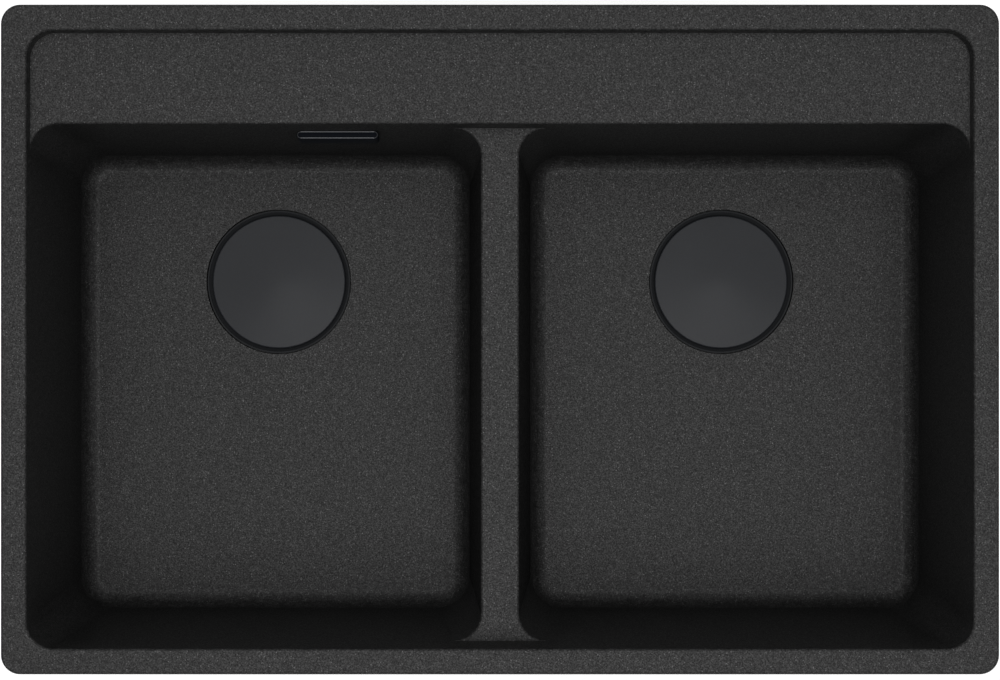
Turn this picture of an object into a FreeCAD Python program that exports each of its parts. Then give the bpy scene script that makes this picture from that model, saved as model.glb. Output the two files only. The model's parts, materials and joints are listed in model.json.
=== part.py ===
import FreeCAD, Part

# Double bowl kitchen sink with its wastes, overflow, drain pipework and worktop clips.
# Millimetres, +X to the right, +Y to the tap ledge at the rear, +Z up.
# The origin is the middle of the cut-out, on the worktop's surface.

import math
import os
import re

import Sketcher
from FreeCAD import Placement, Rotation, Vector

SIZES = {
    # rim and seal
    "overall_width": (775, "rim, left to right"),
    "overall_depth": (520, "rim, front to rear"),
    "rim_corner": (15, "plan radius of the rim's corners"),
    "rim_width": (20, "rim's edge to the bowls, seen from above"),
    "rim_thickness": (8, "rim above its seal"),
    "rim_edge": (2, "rounding of the rim's upper edges"),
    "seal_thickness": (1.5, "foam strip under the rim, pressed"),
    "seal_width": (8, "foam strip"),
    "seal_inset": (1.5, "foam strip from the rim's outer edge"),
    # bowls, ledge and divider
    "opening_corner": (21, "plan radius of the opening at the rim"),
    "bowl_depth": (200, "rim's top to the bowl's floor"),
    "draft_angle": (4, "lean of the walls, degrees"),
    "floor_corner": (27, "plan radius of a bowl where wall and floor meet"),
    "floor_round": (15, "cove between wall and floor"),
    "wall": (9, "thickness of the cast walls"),
    "floor_thickness": (10, "thickness of the bowls' floors"),
    "under_round": (20, "rounding under the bowls"),
    "deck_width": (71, "tap ledge, front to rear"),
    "deck_drop": (12, "tap ledge below the rim's top"),
    "deck_thickness": (10, "tap ledge"),
    "divider_width": (30, "divider between the bowls, at its top"),
    "divider_drop": (35, "divider's top below the rim's top"),
    "divider_thickness": (10, "web that closes the divider's hollow"),
    "edge_round": (2, "rounding of the ledge's front edge and of the divider's top"),
    "tap_hole": (35, "blind tap hole under the ledge"),
    "tap_pitch": (230, "tap holes, centre to centre"),
    "tap_web": (3, "skin left over a blind tap hole"),
    # drain recess in each floor
    "drain_offset": (188, "drain from the sink's middle, left and right"),
    "drain_rear": (49, "drain behind the sink's middle"),
    "recess_diameter": (123, "round recess in the floor"),
    "recess_depth": (9, "round recess in the floor"),
    "drain_hole": (90, "hole in the recess"),
    "boss_diameter": (142, "thickened floor under the recess"),
    "boss_height": (8, "thickened floor under the recess"),
    # drain cover
    "cover_diameter": (113, "cover over the drain"),
    "cover_rise": (0.5, "middle of the cover's top above the floor"),
    "cover_fall": (1.8, "cover's top falls this much to its edge"),
    "cover_round": (1.2, "rounding of the cover's edge"),
    "cover_thickness": (3, "cover's plate"),
    "cover_skirt": (2, "turned down edge below the plate"),
    "cover_foot_radius": (3.5, "pad under the cover"),
    "cover_foot_circle": (50, "radius that the pads stand on"),
    # waste
    "sheet_metal": (1.2, "pressed steel of the waste"),
    "gasket_thickness": (1.5, "gaskets of the waste"),
    "flange_diameter": (121, "lip of the waste's flange"),
    "flange_lip_drop": (1.2, "flange's lip below the floor"),
    "flange_slope": (3.6, "slope between the flange's dish and its lip"),
    "cup_diameter": (87, "strainer cup"),
    "cup_depth": (40, "strainer cup below its flange"),
    "cup_round": (1.8, "rounding round the cup's foot"),
    "cup_gap": (0.5, "gasket round the strainer cup"),
    "cup_hole_radius": (4.5, "holes in the cup's bottom"),
    "cup_hole_circle": (15, "radius of the ring of holes"),
    "screw_radius": (3, "screw that clamps the waste together"),
    "screw_length": (20, "screw that clamps the waste together"),
    "screw_head": (5.1, "radius of the clamp screw's head"),
    "screw_head_height": (2.4, "clamp screw's head"),
    # basket
    "basket_diameter": (81, "basket at its rim"),
    "basket_height": (25, "basket"),
    "basket_taper": (5, "how much narrower the basket's foot is, in radius"),
    "basket_sheet": (1, "basket's steel"),
    "basket_hole_radius": (1.9, "holes in the basket"),
    "plug_radius": (26, "rubber plug under the basket"),
    "plug_height": (5, "rubber plug under the basket"),
    "plug_lip": (5, "width of the plug's lip"),
    "plug_hollow": (3.2, "hollow under the plug"),
    "plug_bevel": (2.5, "plug's upper edge"),
    "knob_radius": (9, "basket's knob"),
    "knob_height": (7, "basket's knob"),
    "knob_stem": (18, "stem under the knob"),
    "knob_bevel": (1.75, "knob's edges"),
    # waste body and pipes
    "body_radius": (50, "plastic waste body, outside"),
    "body_wall": (3, "plastic waste body"),
    "body_flange": (58, "radius of the waste body's collar"),
    "body_collar": (4, "thickness of the waste body's collar"),
    "body_round": (4.5, "rounding under the waste body"),
    "post_wall": (5, "wall of the post that takes the clamp screw"),
    "gasket_inset": (1, "gasket inside the waste body's collar"),
    "body_height": (55, "waste body below its gasket"),
    "pipe_radius": (20, "drain pipe, outside"),
    "pipe_wall": (2.2, "drain pipe"),
    "socket_wall": (3.6, "sockets for the pipes"),
    "socket_depth": (26, "sockets for the pipes"),
    "socket_reach": (78, "mouth of a waste's socket from the drain's axis"),
    "pipe_gap": (0.3, "pipe in its socket"),
    "outlet_drop": (50.5, "outlet's axis below the bowl's floor"),
    "tee_half": (46, "tee, middle to the mouth of a socket"),
    "tee_drop": (52, "tee's axis to the mouth of its lower socket"),
    "tee_hub": (28, "thicker middle of the tee, half its length"),
    "tee_hub_wall": (1.6, "thicker middle of the tee"),
    "tee_step": (0.6, "tee's lower way is this much narrower, in radius"),
    "tail_length": (70, "pipe that leaves the tee"),
    "tail_free": (36, "end of that pipe that goes into a trap"),
    "tail_stop": (2, "ring above that end, past the pipe"),
    "tail_stop_height": (3, "ring above that end"),
    "pipe_stop": (3, "pipe's end from the bottom of its socket"),
    "nut_radius": (29, "union nut, outside"),
    "nut_length": (17, "union nut"),
    "nut_lip": (3, "union nut's lip"),
    "flute_radius": (2, "flutes round the nuts"),
    "flute_depth": (1, "flutes round the nuts"),
    # overflow
    "overflow_offset": (129, "overflow from the sink's middle, to the left"),
    "overflow_drop": (60, "overflow hole's middle below the rim's top"),
    "overflow_width": (50, "overflow hole"),
    "overflow_height": (16, "overflow hole"),
    "overflow_land": (179, "flat land behind the overflow, from the sink's middle"),
    "overflow_land_side": (12, "land past the ends of the overflow hole"),
    "overflow_screw_offset": (20, "overflow's screws from its middle"),
    "overflow_screw_bite": (9, "overflow's screws in their posts"),
    "frame_lap": (2.5, "frame past the ends of the overflow hole"),
    "frame_rise": (1.5, "frame above and below the overflow hole"),
    "frame_window": (30, "frame's window"),
    "frame_window_height": (9.6, "frame's window"),
    "hood_width": (65, "hood over the overflow"),
    "hood_height": (24, "hood over the overflow"),
    "hood_depth": (6.5, "hood's reach into the bowl"),
    "hood_sheet": (1.5, "hood's wall"),
    "housing_collar": (6, "housing's collar past the overflow hole"),
    "housing_width": (36, "overflow housing"),
    "housing_height": (24, "overflow housing"),
    "housing_depth": (24, "overflow housing behind its collar"),
    "housing_corner": (4, "overflow housing"),
    "screw_post": (12, "posts for the overflow's screws"),
    "inlet_wall": (3, "sockets for the overflow pipe"),
    "inlet_reach": (74, "mouth of the overflow's inlet from the drain's axis"),
    "hose_socket": (19.5, "sockets for the overflow pipe"),
    "hose_stop": (4, "overflow pipe's upper end below the housing"),
    "hose_end": (2, "overflow pipe's lower end from the bottom of its socket"),
    "small_nut_wall": (3, "nuts of the overflow pipe past their sockets"),
    "hose_radius": (11, "overflow pipe, outside"),
    "hose_wall": (1.5, "overflow pipe"),
    "hose_bend": (34, "bend of the overflow pipe"),
    "hose_lift": (8, "overflow pipe's axis above the outlet's axis"),
    # worktop clips
    "clip_side_pitch": (220, "clips on the left and right side"),
    "clip_front_pitch": (376, "clips on the front and rear side"),
    "clip_width": (22, "bracket"),
    "clip_sheet": (2, "steel of the bracket and claw"),
    "clip_foot": (13, "bracket's foot from the sink"),
    "clip_foot_level": (41, "bracket's foot below the worktop's surface"),
    "clip_leg": (26, "bracket's leg"),
    "clip_axis": (7.5, "claw's bolt from the sink"),
    "clip_bolt_radius": (2.5, "claw's bolt"),
    "claw_width": (11, "claw"),
    "claw_reach": (30, "claw's tip from its bolt"),
    "claw_drop": (7, "claw below the bracket's foot"),
    "claw_tip": (9, "upturned tip of the claw"),
    "swivel_gap": (0.1, "claw on its bolt"),
    "anchor_radius": (3.5, "brass anchor in the casting"),
    "anchor_length": (8.5, "brass anchor in the casting"),
    "anchor_lift": (8, "anchor above the lower end of the bracket's leg"),
    "anchor_spare": (0.5, "hole in the casting past the anchor"),
    "anchor_screw": (2, "radius of the small screws"),
    "anchor_screw_spare": (1, "small screw short of its anchor's end"),
    "pan_head": (3.8, "radius of the small screws' heads"),
    "pan_head_height": (2.2, "small screws' heads"),
    "bolt_head": (4.5, "claw's bolt, middle to corner of its head"),
    "bolt_head_height": (3.5, "head of the claw's bolt"),
    "land_inset": (2.5, "clip's land inside the wall's outer edge at the rim"),
    "lug_width": (30, "cast land for a clip"),
    "lug_drop": (72, "cast land's lower edge below the worktop's surface"),
    "lug_thickness": (12, "cast land under the ledge"),
    "fit_gap": (0.1, "still pieces that fit in one another"),
}

doc = FreeCAD.newDocument("double_bowl_sink")
sheet = doc.addObject("Spreadsheet::Sheet", "Sizes")
for row, (alias, (value, meaning)) in enumerate(SIZES.items(), start=1):
    sheet.set(f"A{row}", alias)
    sheet.set(f"B{row}", str(value))
    sheet.setAlias(f"B{row}", alias)
    sheet.set(f"C{row}", meaning)
doc.recompute()

NODES = []

# Expressions that several pieces share, in the sheet's aliases.
RIM_TOP = "(seal_thickness + rim_thickness)"
OPEN_X = "(overall_width / 2 - rim_width)"
OPEN_Y = "(overall_depth / 2 - rim_width)"
LEDGE_Y = f"({OPEN_Y} - deck_width)"
DIVIDER_X = "(divider_width / 2 - divider_drop * tan(draft_angle))"
FLOOR = f"({RIM_TOP} - bowl_depth)"
DECK_UNDER = f"({RIM_TOP} - deck_drop - deck_thickness)"
LUG_X = f"({OPEN_X} + wall - land_inset)"
LUG_Y = f"({OPEN_Y} + wall - land_inset)"
ANCHOR_Z = "(-clip_foot_level - clip_leg + anchor_lift)"
LAND_LOW = f"({RIM_TOP} - overflow_drop - overflow_height)"

PAST = "1"  # how far a cut runs past the face it leaves
HAIR = "0.01"  # keeps a line from shrinking to nothing and a cut from lying on a face
CLEAR = "0.05"  # how far a cut stays off the walls beside it


def linked(text):
    """The expression with each alias pointing into the sheet."""
    return re.sub(r"[a-z_]{2,}", lambda m: f"Sizes.{m[0]}" if m[0] in SIZES else m[0], str(text))


def number(text):
    """The expression's present value."""
    return float(sheet.evalExpression(linked(text)))


def bind(item, path, text):
    item.setExpression(path, linked(text))


# ---------------------------------------------------------------- sketches and features

def new_body(label):
    body = doc.addObject("PartDesign::Body", label)
    body.Label = label
    return body


def keep(item):
    """Lists a finished sub-part, which is written out under its label."""
    NODES.append(item)
    return item


def new_sketch(body, name, plane="XY_Plane", level="0"):
    """A sketch on one of the body's own origin planes, moved along the plane's normal by level."""
    sketch = body.newObject("Sketcher::SketchObject", name)
    support = next(f for f in body.Origin.OriginFeatures if f.Role == plane)
    sketch.AttachmentSupport = [(support, "")]
    sketch.MapMode = "FlatFace"
    bind(sketch, "AttachmentOffset.Base.z", level)
    return sketch


def datum(sketch, name, text, *constraint):
    """A driving constraint whose value is an expression."""
    index = sketch.addConstraint(Sketcher.Constraint(*constraint, number(text)))
    sketch.renameConstraint(index, name)
    bind(sketch, f"Constraints.{name}", text)


def circle(sketch, x, y, radius):
    centre = Vector(number(x), number(y), 0)
    index = sketch.addGeometry(Part.Circle(centre, Vector(0, 0, 1), number(radius)))
    datum(sketch, f"x{index}", x, "DistanceX", index, 3)
    datum(sketch, f"y{index}", y, "DistanceY", index, 3)
    datum(sketch, f"r{index}", radius, "Radius", index)


def polygon(sketch, points):
    """A closed outline through the points, each a pair of expressions."""
    corners = [Vector(number(x), number(y), 0) for x, y in points]
    first = sketch.GeometryCount
    count = len(points)
    for i in range(count):
        sketch.addGeometry(Part.LineSegment(corners[i], corners[(i + 1) % count]))
    for i in range(count):
        link = Sketcher.Constraint("Coincident", first + i, 2, first + (i + 1) % count, 1)
        sketch.addConstraint(link)
    for i, (x, y) in enumerate(points):
        datum(sketch, f"x{first + i}", x, "DistanceX", first + i, 1)
        datum(sketch, f"y{first + i}", y, "DistanceY", first + i, 1)


def rounded_rectangle(sketch, left, right, front, rear, radius):
    x0, x1, y0, y1, r = (number(text) for text in (left, right, front, rear, radius))
    first = sketch.GeometryCount
    sides = [
        (Vector(x0 + r, y0), Vector(x1 - r, y0)),
        (Vector(x1, y0 + r), Vector(x1, y1 - r)),
        (Vector(x1 - r, y1), Vector(x0 + r, y1)),
        (Vector(x0, y1 - r), Vector(x0, y0 + r)),
    ]
    centres = [Vector(x1 - r, y0 + r), Vector(x1 - r, y1 - r), Vector(x0 + r, y1 - r), Vector(x0 + r, y0 + r)]
    for quarter, (side, centre) in enumerate(zip(sides, centres)):
        start = math.radians(90 * quarter - 90)
        ring = Part.Circle(centre, Vector(0, 0, 1), r)
        sketch.addGeometry(Part.LineSegment(*side))
        sketch.addGeometry(Part.ArcOfCircle(ring, start, start + math.pi / 2))
    for i in range(8):
        link = Sketcher.Constraint("Tangent", first + i, 2, first + (i + 1) % 8, 1)
        sketch.addConstraint(link)
    for side in range(4):
        direction = "Vertical" if side % 2 else "Horizontal"
        sketch.addConstraint(Sketcher.Constraint(direction, first + 2 * side))
    for corner in (3, 5, 7):
        sketch.addConstraint(Sketcher.Constraint("Equal", first + 1, first + corner))
    datum(sketch, f"corner{first}", radius, "Radius", first + 1)
    datum(sketch, f"front{first}", front, "DistanceY", first, 1)
    datum(sketch, f"right{first}", right, "DistanceX", first + 2, 1)
    datum(sketch, f"rear{first}", rear, "DistanceY", first + 4, 1)
    datum(sketch, f"left{first}", left, "DistanceX", first + 6, 1)


def centred_slot(sketch, x, y, width, height):
    """A rounded oblong about its centre."""
    half = f"({height}) / 2"
    rounded_rectangle(
        sketch,
        f"{x} - ({width}) / 2",
        f"{x} + ({width}) / 2",
        f"{y} - {half}",
        f"{y} + {half}",
        f"{half} - {HAIR}",
    )


def extrude(kind, sketch, length, reverse=False):
    body = sketch.getParentGeoFeatureGroup()
    feature = body.newObject(f"PartDesign::{kind}", f"{sketch.Name}_{kind}")
    feature.Profile = sketch
    bind(feature, "Length", length)
    feature.Reversed = reverse
    sketch.Visibility = False
    return feature


def pad(sketch, length, reverse=False):
    return extrude("Pad", sketch, length, reverse)


def pocket(sketch, length, reverse=False):
    """Cuts against the sketch's normal, or along it when reversed."""
    return extrude("Pocket", sketch, length, reverse)


def loft(kind, sections):
    body = sections[0].getParentGeoFeatureGroup()
    feature = body.newObject(f"PartDesign::{kind}", f"{sections[0].Name}_{kind}")
    feature.Profile = sections[0]
    feature.Sections = sections[1:]
    feature.Ruled = True
    return feature


def revolve(sketch):
    """Turns a profile in the XZ plane about the Z axis."""
    body = sketch.getParentGeoFeatureGroup()
    feature = body.newObject("PartDesign::Revolution", f"{sketch.Name}_turned")
    feature.Profile = sketch
    feature.ReferenceAxis = (sketch, ["V_Axis"])
    feature.Angle = 360
    return feature


def polar(feature, count):
    """Repeats a feature round the body's Z axis."""
    body = feature.getParentGeoFeatureGroup()
    pattern = body.newObject("PartDesign::PolarPattern", f"{feature.Name}_ring")
    pattern.Originals = [feature]
    axis = next(f for f in body.Origin.OriginFeatures if f.Role == "Z_Axis")
    pattern.Axis = (axis, [""])
    pattern.Angle = 360
    pattern.Occurrences = count
    body.Tip = pattern
    return pattern


def dress(body, kind, edges, size):
    """Fillets or chamfers the named edges of the body's last feature."""
    feature = body.newObject(f"PartDesign::{kind}", f"{body.Name}_{kind}")
    feature.Base = (body_tip_before(body, feature), edges)
    bind(feature, "Radius" if kind == "Fillet" else "Size", size)
    doc.recompute()
    return feature


def body_tip_before(body, feature):
    solids = [f for f in body.Group if f is not feature and f.isDerivedFrom("PartDesign::Feature")]
    return solids[-1]


def edges_where(body, test):
    """Names of the edges of the body's present shape that pass a test."""
    doc.recompute()
    return [f"Edge{i}" for i, edge in enumerate(body.Tip.Shape.Edges, start=1) if test(edge)]


def level_edge(edge, level, tolerance=0.01):
    """True for an edge that lies flat at a level."""
    box = edge.BoundBox
    return abs(box.ZMin - level) < tolerance and abs(box.ZMax - level) < tolerance


def scatter(label, template, placements):
    """One sub-part made of identical separate solids."""
    doc.recompute()
    group = doc.addObject("Part::Feature", label)
    group.Label = label
    copies = [template.Shape.transformed(place.toMatrix()) for place in placements]
    group.Shape = Part.makeCompound(copies)
    return keep(group)


# ---------------------------------------------------------------- cast sink

def bowl_section(body, name, side, grow, drop, radius):
    """A bowl's outline at a depth below the rim, grown outward by a wall."""
    lean = f"({drop}) * tan(draft_angle) - ({grow})"
    outer = f"({OPEN_X} - ({lean}))"
    inner = f"({DIVIDER_X} + {lean})"
    left, right = (f"-{outer}", f"-{inner}") if side == "left" else (inner, outer)
    sketch = new_sketch(body, name, level=f"{RIM_TOP} - ({drop})")
    rounded_rectangle(sketch, left, right, f"-{OPEN_Y} + {lean}", f"{LEDGE_Y} - ({lean})", radius)
    return sketch


def clip_places():
    """Where the clips are fixed: the middle of each land at the worktop's surface, facing outward."""
    side_y = number("clip_side_pitch / 2")
    front_x = number("clip_front_pitch / 2")
    lug_x = number(LUG_X)
    lug_y = number(LUG_Y)
    return {
        "left_front": Placement(Vector(-lug_x, -side_y, 0), Rotation(90, 0, 0)),
        "left_rear": Placement(Vector(-lug_x, side_y, 0), Rotation(90, 0, 0)),
        "right_front": Placement(Vector(lug_x, -side_y, 0), Rotation(-90, 0, 0)),
        "right_rear": Placement(Vector(lug_x, side_y, 0), Rotation(-90, 0, 0)),
        "front_left": Placement(Vector(-front_x, -lug_y, 0), Rotation(180, 0, 0)),
        "front_right": Placement(Vector(front_x, -lug_y, 0), Rotation(180, 0, 0)),
        "rear_left": Placement(Vector(-front_x, lug_y, 0), Rotation(0, 0, 0)),
        "rear_right": Placement(Vector(front_x, lug_y, 0), Rotation(0, 0, 0)),
    }


def bowl_openings(body):
    """Both bowls, a hair narrower than cast."""
    for side in ("left", "right"):
        yield [
            bowl_section(body, f"{side}_edge_top", side, f"-{HAIR}", "0", "opening_corner"),
            bowl_section(body, f"{side}_edge_low", side, f"-{HAIR}", "bowl_depth", "floor_corner"),
        ]


def joint_opening(body):
    """The two bowls and what lies between them as one opening, a hair narrower than cast."""
    sections = []
    for name, drop, corner in (("top", "0", "opening_corner"), ("low", "bowl_depth", "floor_corner")):
        section = new_sketch(body, f"joint_{name}", level=f"{RIM_TOP} - {drop}")
        lean = f"({drop} * tan(draft_angle) + {HAIR})"
        rounded_rectangle(section, f"-{OPEN_X} + {lean}", f"{OPEN_X} - {lean}", f"-{OPEN_Y} + {lean}",
                          f"{LEDGE_Y} - {lean}", corner)
        sections.append(section)
    yield sections


def edge_cutter(label, drop, openings, across, front, rear):
    """What rounding takes off the upper edges of openings, between limits to the sides, front and rear.

    The edges end in cusps against the walls, where a fillet can't end. So a plain slab with the same
    openings is rounded all round them, and the casting loses what that slab lacks.
    """
    body = new_body(label)
    top = f"({RIM_TOP} - {drop} + {HAIR})"
    outline = new_sketch(body, f"{label}_outline", level=top)
    far = "overall_width"
    polygon(outline, [(f"-{far}", f"-{far}"), (far, f"-{far}"), (far, far), (f"-{far}", far)])
    pad(outline, "deck_thickness", reverse=True)
    for sections in openings(body):
        loft("SubtractiveLoft", sections)
    level = number(top)
    inside = number(OPEN_X)
    names = edges_where(body, lambda e: level_edge(e, level) and e.CenterOfMass.Length < inside + level)
    dress(body, "Fillet", names, "edge_round")
    lean = f"({drop} + edge_round + {PAST}) * tan(draft_angle) + {CLEAR}"
    x = number(f"{across[0]} - {across[1]} * ({lean})")
    y0 = number(f"{front[0]} + {front[1]} * ({lean})")
    y1 = number(f"{rear[0]} - {rear[1]} * ({lean})")
    deep = number(f"edge_round + {PAST}")
    corner = Vector(-x, y0, level - deep)
    zone = Part.makeBox(2 * x, y1 - y0, deep + number(PAST), corner)
    return zone.cut(body.Shape)


def sink_body():
    body = new_body("sink_cast")
    rim = new_sketch(body, "rim_outline", level="seal_thickness")
    half_x = "overall_width / 2"
    half_y = "overall_depth / 2"
    rounded_rectangle(rim, f"-{half_x}", half_x, f"-{half_y}", half_y, "rim_corner")
    pad(rim, "rim_thickness")

    tray = new_sketch(body, "tray_outline", level=DECK_UNDER)
    out_x = f"({OPEN_X} + wall)"
    out_y = f"({OPEN_Y} + wall)"
    rounded_rectangle(tray, f"-{out_x}", out_x, f"-{out_y}", out_y, "opening_corner + wall")
    pad(tray, f"{RIM_TOP} - rim_thickness / 2 - {DECK_UNDER}")

    full_drop = "bowl_depth + floor_thickness"
    for side in ("left", "right"):
        top = bowl_section(body, f"{side}_outer_top", side, "wall", "rim_thickness / 2",
                           "opening_corner + wall")
        low = bowl_section(body, f"{side}_outer_low", side, "wall", full_drop, "floor_corner + wall")
        loft("AdditiveLoft", [top, low])

    bridge = f"({RIM_TOP} - divider_drop - divider_thickness)"
    web = new_sketch(body, "divider_web", level=bridge)
    web_lean = "(divider_drop + divider_thickness) * tan(draft_angle)"
    web_x = "(divider_width / 2 + opening_corner)"
    polygon(web, [
        (f"-{web_x}", f"-{OPEN_Y} - wall + {web_lean}"),
        (web_x, f"-{OPEN_Y} - wall + {web_lean}"),
        (web_x, f"{LEDGE_Y} + wall - {web_lean}"),
        (f"-{web_x}", f"{LEDGE_Y} + wall - {web_lean}"),
    ])
    pad(web, f"{DECK_UNDER} + deck_thickness / 2 - {bridge}")

    lugs = new_sketch(body, "clip_lands", level="-lug_drop")
    for name, place in clip_places().items():
        depth = "lug_thickness" if name.startswith("rear") else "wall"
        sign_x = -1 if "left" in name.split("_")[0] else 1
        if name.startswith(("left", "right")):
            along = "clip_side_pitch / 2" if name.endswith("rear") else "-clip_side_pitch / 2"
            ends = sorted((f"{sign_x} * {LUG_X}", f"{sign_x} * ({LUG_X} - {depth})"), key=number)
            corners = (ends[0], ends[1], f"{along} - lug_width / 2", f"{along} + lug_width / 2")
        else:
            sign_y = 1 if name.startswith("rear") else -1
            along = "clip_front_pitch / 2" if name.endswith("right") else "-clip_front_pitch / 2"
            ends = sorted((f"{sign_y} * {LUG_Y}", f"{sign_y} * ({LUG_Y} - {depth})"), key=number)
            corners = (f"{along} - lug_width / 2", f"{along} + lug_width / 2", ends[0], ends[1])
        left, right, front, rear = corners
        polygon(lugs, [(left, front), (right, front), (right, rear), (left, rear)])
    pad(lugs, f"lug_drop + {DECK_UNDER} + deck_thickness / 2")

    land = new_sketch(body, "overflow_land", level=LAND_LOW)
    land_x = "(overflow_width / 2 + overflow_land_side)"
    polygon(land, [
        (f"-overflow_offset - {land_x}", f"{LEDGE_Y} - wall / 2"),
        (f"-overflow_offset + {land_x}", f"{LEDGE_Y} - wall / 2"),
        (f"-overflow_offset + {land_x}", "overflow_land"),
        (f"-overflow_offset - {land_x}", "overflow_land"),
    ])
    pad(land, f"{DECK_UNDER} + deck_thickness / 2 - {LAND_LOW}")

    bosses = new_sketch(body, "drain_bosses", level=f"{FLOOR} - floor_thickness - boss_height")
    for side in (-1, 1):
        circle(bosses, f"{side} * drain_offset", "drain_rear", "boss_diameter / 2")
    pad(bosses, "boss_height + floor_thickness / 2")

    # undersides are rounded before the bowls are cut
    under = number(f"{FLOOR} - floor_thickness")
    drain = number("drain_offset")
    names = edges_where(body, lambda e: level_edge(e, under) and e.Curve.TypeId != "Part::GeomCircle"
                        or level_edge(e, under) and abs(abs(e.Curve.Center.x) - drain) > 1)
    dress(body, "Fillet", names, "under_round")

    for side in ("left", "right"):
        top = bowl_section(body, f"{side}_top", side, "0", "0", "opening_corner")
        low = bowl_section(body, f"{side}_low", side, "0", "bowl_depth", "floor_corner")
        loft("SubtractiveLoft", [top, low])

    sections = []
    for name, drop in (("ledge_top", "0"), ("ledge_low", "deck_drop")):
        section = new_sketch(body, name, level=f"{RIM_TOP} - {drop}")
        lean = f"{drop} * tan(draft_angle)"
        rounded_rectangle(section, f"-{OPEN_X} + {lean}", f"{OPEN_X} - {lean}", f"{LEDGE_Y} - deck_width",
                          f"{OPEN_Y} - {lean}", "opening_corner")
        sections.append(section)
    loft("SubtractiveLoft", sections)

    sections = []
    for name, drop in (("divider_top", "0"), ("divider_low", "divider_drop")):
        section = new_sketch(body, name, level=f"{RIM_TOP} - {drop}")
        lean = f"{drop} * tan(draft_angle)"
        polygon(section, [
            (f"-{web_x}", f"-{OPEN_Y} + {lean}"),
            (web_x, f"-{OPEN_Y} + {lean}"),
            (web_x, f"{LEDGE_Y} - {lean}"),
            (f"-{web_x}", f"{LEDGE_Y} - {lean}"),
        ])
        sections.append(section)
    loft("SubtractiveLoft", sections)

    floor = number(FLOOR)
    dress(body, "Fillet", edges_where(body, lambda e: level_edge(e, floor)), "floor_round")
    rim_top = number(RIM_TOP)
    dress(body, "Fillet", edges_where(body, lambda e: level_edge(e, rim_top)), "rim_edge")

    recess = new_sketch(body, "drain_recess", level=FLOOR)
    hole = new_sketch(body, "drain_hole", level=FLOOR)
    for side in (-1, 1):
        circle(recess, f"{side} * drain_offset", "drain_rear", "recess_diameter / 2")
        circle(hole, f"{side} * drain_offset", "drain_rear", "drain_hole / 2")
    pocket(recess, "recess_depth")
    pocket(hole, f"floor_thickness + boss_height + {PAST}")

    slot = new_sketch(body, "overflow_hole", plane="XZ_Plane", level=f"-overflow_land - {PAST}")
    centred_slot(slot, "-overflow_offset", f"{RIM_TOP} - overflow_drop", "overflow_width", "overflow_height")
    deep = f"overflow_land - {LEDGE_Y} + (overflow_drop + overflow_height) * tan(draft_angle)"
    pocket(slot, f"{deep} + 2 * {PAST}", reverse=True)

    taps = new_sketch(body, "tap_pilots", level=DECK_UNDER)
    for place in (-1, 0, 1):
        circle(taps, f"{place} * tap_pitch", f"{OPEN_Y} - deck_width / 2", "tap_hole / 2")
    pocket(taps, "deck_thickness - tap_web", reverse=True)

    for plane, side, pitch, face in (
        ("YZ_Plane", -1, "clip_side_pitch", LUG_X),
        ("YZ_Plane", 1, "clip_side_pitch", LUG_X),
        ("XZ_Plane", -1, "clip_front_pitch", LUG_Y),
        ("XZ_Plane", 1, "clip_front_pitch", LUG_Y),
    ):
        out = side if plane == "YZ_Plane" else -side
        anchors = new_sketch(body, f"anchor_holes_{plane[:2]}{side + 1}", plane, f"{out} * {face}")
        for end in (-1, 1):
            circle(anchors, f"{end} * {pitch} / 2", ANCHOR_Z, "anchor_radius + fit_gap")
        pocket(anchors, "anchor_length + anchor_spare", reverse=out < 0)

    cutters = [
        edge_cutter("ledge_slab", "deck_drop", joint_opening, (OPEN_X, 1),
                    (f"{LEDGE_Y} - 2 * opening_corner", 0), (f"{LEDGE_Y} + 2 * edge_round", 0)),
        edge_cutter("divider_slab", "divider_drop", bowl_openings, ("divider_width / 2 + floor_corner", 0),
                    (f"-{OPEN_Y}", 1), (LEDGE_Y, 1)),
    ]
    casting = doc.addObject("Part::Feature", "sink_body")
    casting.Label = "sink_body"
    casting.Shape = body.Shape.cut(cutters)
    return keep(casting)


def rim_seal():
    body = new_body("rim_seal")
    strip = new_sketch(body, "seal_outline")
    for inset in ("seal_inset", "seal_inset + seal_width"):
        half_x = f"(overall_width / 2 - ({inset}))"
        half_y = f"(overall_depth / 2 - ({inset}))"
        rounded_rectangle(strip, f"-{half_x}", half_x, f"-{half_y}", half_y, f"rim_corner - ({inset})")
    pad(strip, "seal_thickness")
    return keep(body)


# ---------------------------------------------------------------- wastes, one per bowl

# Levels from the bowl's floor.
RECESS = "(-recess_depth)"
FLANGE_LOW = f"({RECESS} + gasket_thickness)"
FLANGE_TOP = f"({FLANGE_LOW} + sheet_metal)"
CUP_LOW = f"({FLANGE_LOW} - cup_depth)"
CUP_SEAT = f"({CUP_LOW} + sheet_metal)"
BASKET_LOW = f"({CUP_SEAT} + plug_height)"
BASKET_TOP = f"({BASKET_LOW} + basket_height)"
BOSS_LOW = "(-floor_thickness - boss_height)"
BODY_TOP = f"({BOSS_LOW} - gasket_thickness)"
BODY_LOW = f"({BODY_TOP} - body_height)"
SOCKET_RADIUS = "(pipe_radius + pipe_gap + socket_wall)"
INLET_BORE = "(hose_radius + pipe_gap)"
INLET_RADIUS = f"({INLET_BORE} + inlet_wall)"
HOUSING_FRONT = "(overflow_land + gasket_thickness)"
HOSE_Y = f"({HOUSING_FRONT} + body_wall + housing_depth / 2)"


def at_drain(item, side):
    """Puts a piece on its bowl's drain axis, at the floor."""
    bind(item, "Placement.Base.x", f"{-1 if side == 'left' else 1} * drain_offset")
    bind(item, "Placement.Base.y", "drain_rear")
    bind(item, "Placement.Base.z", FLOOR)
    return keep(item)


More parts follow.
